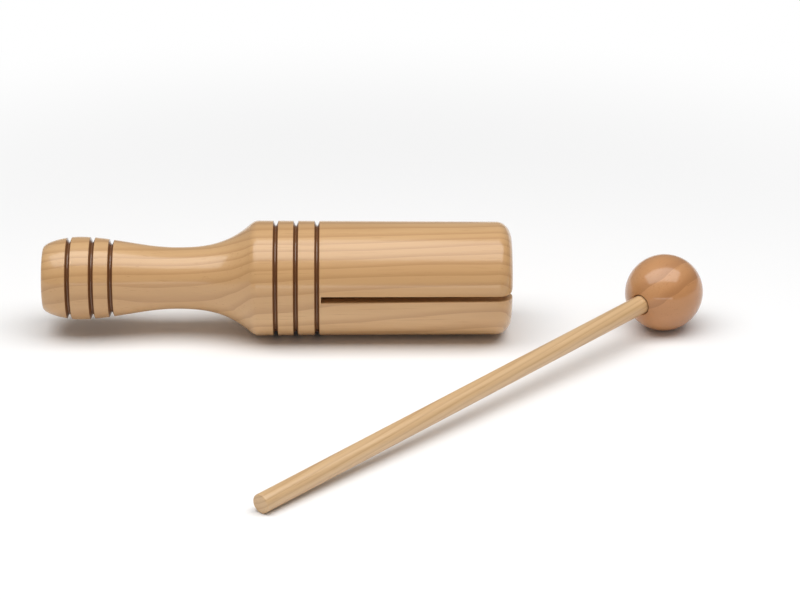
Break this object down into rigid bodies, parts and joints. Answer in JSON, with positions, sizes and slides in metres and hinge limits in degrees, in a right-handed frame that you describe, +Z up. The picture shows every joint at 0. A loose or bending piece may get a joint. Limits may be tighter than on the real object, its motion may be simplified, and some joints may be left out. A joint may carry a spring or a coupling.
{
  "type": "tone block",
  "caption": "Turned wooden tone block with a grooved handle and a hollow, slit barrel, and its loose ball-headed mallet lying beside it.",
  "frame": {"origin": "middle of the footprint of block and mallet together, on the surface that they lie on", "axes": "+X along the block's axis from its butt to its mouth, +Z up from the surface; the slit faces -Y and the mallet lies on that side"},
  "size_m": [0.2828, 0.205, 0.0492],
  "materials": {
    "block_wood": "clear satin lacquer over pale hardwood, with grooves burned brown",
    "dowel_wood": "thin clear lacquer over a straight-grained dowel",
    "head_wood": "glossy clear lacquer over turned hardwood"
  },
  "bodies": {
    "block": {"tone_block_body": "block_wood"},
    "mallet": {"mallet_stick": "dowel_wood", "mallet_head": "head_wood"}
  },
  "joints": [
    {"name": "mallet_lift", "type": "slide", "parent": "block", "child": "mallet", "axis": [0, 0, 1], "range_m": [0, 0.15]}
  ]
}
